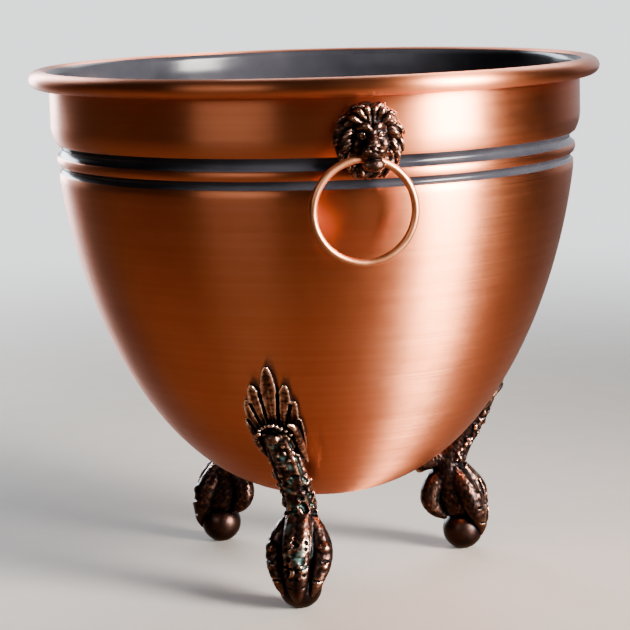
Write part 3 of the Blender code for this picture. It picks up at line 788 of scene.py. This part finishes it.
def sculpt_toes(clay):
    clay.ball((0, 25.5, 66.0), (10.0, 11.0, 9.2), blend=1.0)
    clay.ball((0, BALL_RADIUS / MM, BALL_CIRCLE / MM), (BALL_RADIUS / MM,) * 3, blend=0.2)
    for side in (-1.9, 1.9):
        clay.strand([(side, 40, 66, 4.0), (side, 34.5, 71, 4.4), (side, 29, 74.8, 4.5),
                     (side, 23, 76.0, 4.1), (side * 0.9, 17, 76.9, 3.7), (side * 0.7, 11.5, 76.9, 3.0),
                     (side * 0.4, 7.5, 76.2, 2.0), (0, 4.2, 74.4, 0.9)], blend=0.6)
    clay.strand([(0, 38, 60, 5), (0, 33, 54, 4.8), (0, 26, 51.6, 4.5), (0, 20.5, 54.2, 3.6),
                 (0, 16.6, 58.6, 1.8)], blend=0.5)
    clay.strand([(0, 43, 64, 6), (0, 45, 56, 5.2), (0, 43.6, 49.8, 4.0), (0, 41, 46.8, 2.4)], blend=0.8)
    for hand in (-1, 1):
        clay.strand([(hand * 3.5, 38, 64, 4.4), (hand * 7.4, 32.5, 66.0, 4.7), (hand * 9.6, 27, 68, 4.9),
                     (hand * 9.9, 21.5, 70, 4.6), (hand * 9.1, 17, 72.0, 3.8), (hand * 7.7, 12.2, 74.0, 2.7),
                     (hand * 6.3, 8.2, 74.6, 1.3)], blend=0.35)
        clay.ball((hand * 11.0, 27.4, 70.0), (3.4, 3.3, 3.8), blend=0.4)
        clay.ball((hand * 10.8, 19.8, 72.2), (2.9, 2.6, 3.1), blend=0.35)
        clay.strand([(hand * 5.6, 33, 74.2, 0.6), (hand * 6.4, 26, 76.4, 0.9), (hand * 6.3, 17, 77.0, 0.9),
                     (hand * 5.2, 9, 76.4, 0.7)], blend=0.4, carve=True)
        clay.strand([(hand * 7.2, 14.4, 76.4, 0.5), (hand * 10.2, 14.2, 75.0, 0.5),
                     (hand * 13.2, 14.8, 71.0, 0.5)], blend=0.3, carve=True)
        clay.strand([(hand * 7.6, 22.6, 76.4, 0.5), (hand * 11.0, 22.2, 75.0, 0.6),
                     (hand * 14.6, 22.4, 70.4, 0.5)], blend=0.3, carve=True)
    for z in (11.6, 20.5):
        crease = [(-5.4, z + 1.0, 78.2, 0.5), (0, z - 0.4, 80.8, 0.55), (5.4, z + 1.0, 78.2, 0.5)]
        clay.strand(crease, blend=0.3, carve=True)
    rng = np.random.default_rng(8)
    for _ in range(46):
        u, z, size = rng.uniform(-4.6, 4.6), rng.uniform(14, 38), rng.uniform(0.5, 1.0)
        w = np.interp(z, (14, 24, 30, 38), (80.6, 80.2, 79.0, 71.5)) - u * u * 0.06
        clay.ball((u, z, w), (size * 1.2, size, size * 0.8), blend=0.7, carve=bool(rng.random() < 0.6))


def foot_mesh():
    clay = Clay((-15.4, -0.2, 43.0), (15.4, 113.4, 106.0), FOOT_GRID)
    sculpt_toes(clay)
    sculpt_leg(clay)
    wall, u, v = wall_fields(clay)
    sculpt_leaf(clay, wall, u, v)
    clay.field = np.maximum(clay.field, GAP / MM - wall)
    clay.field = np.maximum(clay.field, BALL_FLAT / MM - v)
    points, quads = clay.skin()
    points = relaxed(points, quads, 0.35, 1)
    normals = vertex_normals(points, quads)
    gap = clay.sample(wall, points)
    free = eased(0.4, 1.2, gap) * eased(12.0, 20.0, points[:, 1])
    rough = 0.07 * lumps(points, 2.4, 5) + 0.03 * lumps(points, 1.1, 6)
    points = points + normals * (rough * free)[:, None]
    exposed = 1.1 * clay.openness(points, 0.8) + 0.6 * clay.openness(points, 2.2)
    # Painted shade: darker within about 1.7 mm of the bowl's wall, and on faces turned away from the outside
    # above about 80 mm, the leaf's sides and tips.
    painted_shade_faces = eased(0.62, 0.25, normals[:, 2]) * eased(76.0, 82.0, points[:, 1])
    blade_faces = eased(86.0, 92.0, points[:, 1]) * eased(1.4, 2.0, gap)
    exposed = exposed - 0.6 * eased(1.7, 0.8, gap) - 1.1 * painted_shade_faces + 0.14 * blade_faces
    height = points[:, 1]
    facing = eased(0.2, 0.9, normals[:, 2]) * eased(14.0, 26.0, height) * (1 - eased(76.0, 84.0, height))
    green = facing * eased(7.5, 3.5, np.abs(points[:, 0])) * eased(-0.3, 0.7, lumps(points, 7.0, 9))
    z = points[:, 1] * MM
    x = points[:, 0] * MM + swing(z)
    place = np.stack([x, -points[:, 2] * MM, z - BALL_FLAT], axis=1)
    return place, quads, exposed, green


# --- castings, rings and fasteners ---


def casting(node, shape, azimuth_deg, finish):
    place, quads, exposed, green = shape
    turn = math.radians(azimuth_deg)
    x, y, z = place.T
    cos, sin = math.cos(turn), math.sin(turn)
    turned = np.stack([x * cos - y * sin, x * sin + y * cos, z], axis=1)
    piece = mesh_object(f"{node}_fine", turned, quads.tolist())
    point_attribute(piece, "exposed", exposed)
    point_attribute(piece, "green", green)
    dress(piece, finish, "pot", node)


def dress(piece, finish, body, node):
    piece.data.materials.append(finish)
    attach(piece, body)
    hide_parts(node)


def make_castings():
    finish = antiqued_casting()
    mask = mask_mesh()
    foot = foot_mesh()
    for side, azimuth in MASK_AZIMUTHS_DEG.items():
        casting(f"lion_mask_{side}", mask, azimuth, finish)
    for side, azimuth in FOOT_AZIMUTHS_DEG.items():
        casting(f"foot_{side}", foot, azimuth, finish)


def make_rings():
    """Each a bent wire with its two cut ends butted inside the mouth."""
    drop = math.sqrt(RING_RADIUS**2 - RING_SIDE_OFFSET**2)
    start = math.atan2(drop, -RING_SIDE_OFFSET) + RING_BUTT_GAP / (2 * RING_RADIUS)
    sweep = 2 * math.pi - RING_BUTT_GAP / RING_RADIUS
    along = start + sweep * np.linspace(0.0, 1.0, RING_STEPS)
    around = np.linspace(0.0, 2 * math.pi, WIRE_SIDES, endpoint=False)
    finish = copper_wire()
    for side, azimuth in MASK_AZIMUTHS_DEG.items():
        points, arc = [], []
        for k, turn in enumerate(along):
            end = min(k, len(along) - 1 - k)
            wire = WIRE_RADIUS * (0.86, 0.96)[end] if end < 2 else WIRE_RADIUS
            for angle in around:
                r = RING_RADIUS + wire * math.cos(angle)
                local = Vector((RING_SIDE_OFFSET + r * math.cos(turn), -HINGE_R + wire * math.sin(angle),
                                HINGE_Z - drop + r * math.sin(turn)))
                points.append(turn_z(azimuth) @ local)
                arc.append(turn * RING_RADIUS)
        count = len(around)
        faces = []
        for a in range(0, (len(along) - 1) * count, count):
            for k in range(count):
                after = (k + 1) % count
                faces.append((a + k, a + after, a + count + after, a + count + k))
        faces.append(tuple(reversed(range(count))))
        faces.append(tuple((len(along) - 1) * count + k for k in range(count)))
        ring = mesh_object(f"ring_handle_{side}_fine", points, faces)
        ring.data.set_sharp_from_angle(angle=math.radians(RING_SHARP_DEG))
        point_attribute(ring, "arc", arc)
        dress(ring, finish, f"ring_{side}", f"ring_handle_{side}")


def lathe(profile, segments):
    """(points, faces) of a closed outline of (r, z) points, turned round Z."""
    turns = np.arange(segments) * 2 * math.pi / segments
    points = [(r * math.cos(t), r * math.sin(t), z) for r, z in profile for t in turns]
    faces = []
    for i in range(len(profile)):
        a, b = i * segments, (i + 1) % len(profile) * segments
        for k in range(segments):
            after = (k + 1) % segments
            faces.append((a + k, a + after, b + after, b + k))
    return points, faces


def screw_mesh():
    """A pan head with a cross recess on a plain shank: v is across, w is out of the head, in millimetres."""
    clay = Clay((-4.2, -4.2, -4.4), (4.2, 4.2, 3.0), SCREW_GRID)
    u, v, w = np.meshgrid(*clay.axes, indexing="ij", sparse=True)
    r = np.sqrt(u * u + v * v)
    head = np.maximum(np.sqrt((r / 1.02) ** 2 + (w * 1.45) ** 2) - 3.72, 0.02 - w)
    shank = np.maximum(np.maximum(r - 1.88, w - 0.5), -4.0 - w)
    clay.field = np.minimum(head, shank)
    slot = np.minimum(np.abs(u) - 0.42 + (2.4 - w) * 0.12, np.abs(v) - 0.42 + (2.4 - w) * 0.12)
    recess = np.maximum(np.maximum(slot, r - 1.9 + (2.4 - w) * 0.5), 0.9 - w)
    clay.field = np.maximum(clay.field, -recess)
    points, quads = clay.skin()
    return relaxed(points, quads, 0.4, 2) * MM, quads


def make_fasteners():
    """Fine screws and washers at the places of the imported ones, facing into the bowl."""
    finish = zinc_plated_steel()
    screw_points, screw_faces = screw_mesh()
    inner, outer, high, rim = WASHER_HOLE_RADIUS, WASHER_RADIUS, WASHER_THICKNESS, WASHER_ROUNDING
    profile = [(inner, high - rim), (inner + rim, high), (outer - rim, high), (outer, high - rim),
               (outer, rim), (outer - rim, 0.0), (inner + rim, 0.0), (inner, rim)]
    washer_points, washer_faces = lathe(profile[::-1], WASHER_SEGMENTS)
    rng = np.random.default_rng(4)
    for stem, azimuth, side, z in fastener_places():
        out, up = wall_normal(z)
        r = wall_radius(z)
        turn = side / r
        outward = Vector((out * math.sin(turn), -out * math.cos(turn), up))
        seat = Vector((r * math.sin(turn), -r * math.cos(turn), z)) - outward * SHEET
        spin = Matrix.Rotation(rng.uniform(0, math.pi), 4, "Z")
        facing = (-outward).to_track_quat("Z", "X").to_matrix().to_4x4()
        seated = turn_z(azimuth) @ Matrix.Translation(seat) @ facing
        for kind, points, faces, lift in (("washer", washer_points, washer_faces, WASHER_LIFT),
                                          ("screw", screw_points, screw_faces, HEAD_LIFT)):
            place = seated @ Matrix.Translation((0, 0, lift)) @ spin
            moved = [place @ Vector(p) for p in points]
            node = stem.format(kind)
            piece = mesh_object(f"{node}_fine", moved, [tuple(f) for f in faces])
            piece.data.set_sharp_from_angle(angle=math.radians(FASTENER_SHARP_DEG))
            dress(piece, finish, "pot", node)


def fastener_places():
    """(name stem, azimuth, offset to the right along the wall, height) of every screw."""
    places = []
    for foot, azimuth in FOOT_AZIMUTHS_DEG.items():
        for row, z in FOOT_SCREW_HEIGHTS.items():
            places.append((f"foot_{{}}_{foot}_{row}", azimuth, swing(z), z))
    for mask, azimuth in MASK_AZIMUTHS_DEG.items():
        places.append((f"mask_{{}}_{mask}", azimuth, 0.0, MASK_SCREW_Z))
    return places


# --- camera, floor and lights ---


def turn_z(degrees):
    return Matrix.Rotation(math.radians(degrees), 4, "Z")


def make_camera():
    data = bpy.data.cameras.new("camera")
    data.lens = CAMERA_LENS
    data.sensor_width = CAMERA_SENSOR
    camera = bpy.data.objects.new("camera", data)
    bpy.context.scene.collection.objects.link(camera)
    tilt = Matrix.Rotation(math.radians(90 - CAMERA_PITCH_DEG), 4, "X")
    roll = Matrix.Rotation(math.radians(CAMERA_ROLL_DEG), 4, "Z")
    place = turn_z(CAMERA_AZIMUTH_DEG) @ Matrix.Translation((0, -CAMERA_DISTANCE, CAMERA_HEIGHT))
    camera.matrix_world = place @ turn_z(-CAMERA_YAW_DEG) @ tilt @ roll
    bpy.context.scene.camera = camera


def soft_light(name, azimuth_deg, distance, height, width, tall, power, color, spread_deg, target):
    """A rectangular light round the pot, its azimuth counted from the camera's, facing the target."""
    data = bpy.data.lights.new(name, "AREA")
    data.shape = "RECTANGLE"
    data.size, data.size_y = width, tall
    data.energy = power
    data.color = color
    data.spread = math.radians(spread_deg)
    light = bpy.data.objects.new(name, data)
    bpy.context.scene.collection.objects.link(light)
    place = turn_z(CAMERA_AZIMUTH_DEG + azimuth_deg) @ Vector((0, -distance, height))
    light.location = place
    light.rotation_euler = (place - Vector(target)).to_track_quat("Z", "Y").to_euler()


def studio_world():
    """Dim in front of the pot and pale behind it, so that the copper has a dark and a bright side."""
    world = bpy.data.worlds.new("world")
    world.use_nodes = True
    tree = world.node_tree
    place = tree.nodes.new("ShaderNodeTexCoord").outputs["Generated"]
    dot = tree.nodes.new("ShaderNodeVectorMath")
    dot.operation = "DOT_PRODUCT"
    tree.links.new(place, dot.inputs[0])
    dot.inputs[1].default_value = turn_z(CAMERA_AZIMUTH_DEG + BACKDROP_AZIMUTH_DEG) @ Vector((0, -1, 0))
    ramp = tree.nodes.new("ShaderNodeValToRGB")
    tree.links.new(dot.outputs["Value"], ramp.inputs[0])
    ramp.color_ramp.interpolation = "EASE"
    for element, (position, color) in zip(ramp.color_ramp.elements, WORLD_STOPS):
        element.position = position
        element.color = (*color, 1.0)
    seen = tree.nodes.new("ShaderNodeMix")
    seen.data_type = "RGBA"
    tree.links.new(tree.nodes.new("ShaderNodeLightPath").outputs["Is Camera Ray"], seen.inputs["Factor"])
    tree.links.new(ramp.outputs[0], seen.inputs[6])
    seen.inputs[7].default_value = (*BACKGROUND_COLOR, 1.0)
    tree.links.new(seen.outputs[2], tree.nodes["Background"].inputs["Color"])
    bpy.context.scene.world = world


def make_stage():
    """A pale floor that fades into the pale background, painted dark for every ray but the camera's as
    painted shade, and the lights round it.
    """
    studio_world()
    reach = FLOOR_REACH
    corners = [(-reach, -reach, 0), (reach, -reach, 0), (reach, reach, 0), (-reach, reach, 0)]
    floor = mesh_object("floor", corners, [(0, 1, 2, 3)], smooth=False)
    n = Nodes("floor_paper")
    place = n.add("ShaderNodeTexCoord").outputs["Object"]
    pale = n.ramp(n.noise(place, 3.0), (0.3, FLOOR_COLORS[0]), (0.7, FLOOR_COLORS[1]))
    seen = n.add("ShaderNodeLightPath").outputs["Is Camera Ray"]
    # Painted shade: every ray but the camera's sees the floor dark, so the copper's underside reflects and
    # catches less light.
    n.put(n.shader.inputs["Base Color"], n.mix(seen, FLOOR_PAINTED_SHADE, pale))
    n.put(n.shader.inputs["Roughness"], n.between(n.noise(place, 40.0), 0.3, 0.7, 0.55, 0.65))
    n.put(n.shader.inputs["Normal"], n.bump(n.noise(place, 900.0), 0.0001, 0.2))
    away = n.add("ShaderNodeVectorMath", {"operation": "LENGTH"}, Vector=place).outputs["Value"]
    fade = n.add("ShaderNodeMapRange", {"interpolation_type": "SMOOTHSTEP"}, Value=away)
    limits = (("From Min", FLOOR_FADE[0]), ("From Max", FLOOR_FADE[1]), ("To Min", 1.0), ("To Max", 0.0))
    for name, number in limits:
        fade.inputs[name].default_value = number
    n.put(n.shader.inputs["Alpha"], n.math("MAXIMUM", fade.outputs[0], n.math("SUBTRACT", 1.0, seen)))
    floor.data.materials.append(n.material)
    for light in LIGHTS:
        soft_light(*light)


make_camera()
make_stage()
make_bowl()
make_castings()
make_rings()
make_fasteners()
